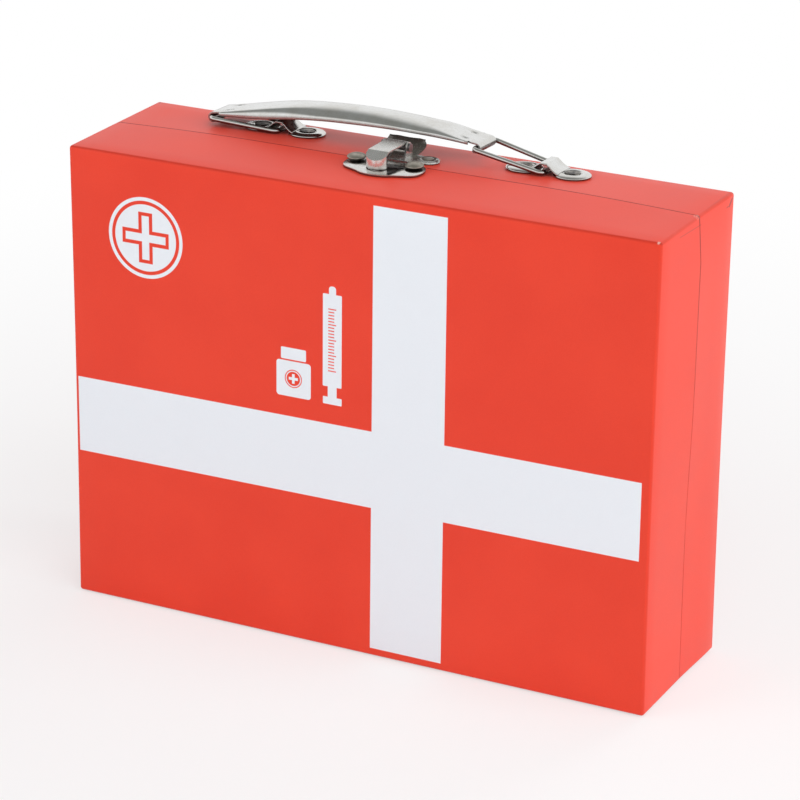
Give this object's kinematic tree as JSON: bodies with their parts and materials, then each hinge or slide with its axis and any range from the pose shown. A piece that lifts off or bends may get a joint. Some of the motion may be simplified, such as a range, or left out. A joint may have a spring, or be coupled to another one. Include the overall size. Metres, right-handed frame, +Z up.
{
  "type": "toy doctor case",
  "caption": "Small hinged paper-covered cardboard suitcase for a toy doctor's set, with a tin carrying handle and a snap hasp on top.",
  "frame": {"origin": "bottom centre of the closed, standing case", "axes": "+Z up, +X to the right along the case's width, +Y from the lid at the front to the base at the back"},
  "size_m": [0.24, 0.0666, 0.198],
  "materials": {
    "printed_paper": "matt laminated print",
    "greyboard": "raw",
    "lining_paper": "matt",
    "nickel_plate": "bright nickel on pressed steel",
    "satin_nickel": "satin nickel",
    "spring_steel": "plain steel"
  },
  "bodies": {
    "base": {"base_wrap": "printed_paper", "base_board": "greyboard", "base_lining": "lining_paper", "bracket_left": "nickel_plate", "bracket_right": "nickel_plate", "rivet_left_outer": "satin_nickel", "rivet_left_inner": "satin_nickel", "rivet_right_inner": "satin_nickel", "rivet_right_outer": "satin_nickel", "washer_left_outer": "nickel_plate", "washer_left_inner": "nickel_plate", "washer_right_inner": "nickel_plate", "washer_right_outer": "nickel_plate", "hasp_plate": "nickel_plate", "hasp_pin": "spring_steel", "hasp_rivet_left": "satin_nickel", "hasp_rivet_right": "satin_nickel", "hasp_washer_left": "nickel_plate", "hasp_washer_right": "nickel_plate"},
    "lid": {"lid_wrap": "printed_paper", "lid_board": "greyboard", "lid_lining": "lining_paper", "hinge_fold": "printed_paper", "catch_plate": "nickel_plate", "catch_rivet_left": "satin_nickel", "catch_rivet_right": "satin_nickel", "catch_washer_left": "nickel_plate", "catch_washer_right": "nickel_plate"},
    "link_left": {"link_left": "nickel_plate"},
    "grip": {"handle_grip": "nickel_plate"},
    "link_right": {"link_right": "nickel_plate"},
    "hasp": {"hasp_lever": "nickel_plate", "hasp_spring": "spring_steel"}
  },
  "joints": [
    {"name": "lid_hinge", "type": "hinge", "parent": "base", "child": "lid", "pos_m": [0, 0.0013, -0.0002], "axis": [1, 0, 0], "range_deg": [0, 180], "deforming": ["hinge_fold"]},
    {"name": "handle_lift", "type": "hinge", "parent": "base", "child": "link_left", "pos_m": [-0.0568, 0.02006, 0.18408], "axis": [0, 0.999, -0.0438], "range_deg": [0, 155]},
    {"name": "grip_turn", "type": "hinge", "parent": "link_left", "child": "grip", "pos_m": [-0.08435, 0.02013, 0.18578], "axis": [0, 0.999, -0.0438], "range_deg": [-153, 0]},
    {"name": "link_right_turn", "type": "hinge", "parent": "grip", "child": "link_right", "pos_m": [0.02617, 0.0203, 0.18968], "axis": [0, 0.999, -0.0438], "range_deg": [0, 148]},
    {"name": "hasp_lift", "type": "hinge", "parent": "base", "child": "hasp", "pos_m": [-0.0032, 0.00752, 0.18834], "axis": [-1, 0, 0], "range_deg": [0, 85]}
  ],
  "couplings": [
    {"joint": "grip_turn", "follows": "handle_lift", "ratio": -0.9807},
    {"joint": "link_right_turn", "follows": "handle_lift", "ratio": 0.953}
  ]
}
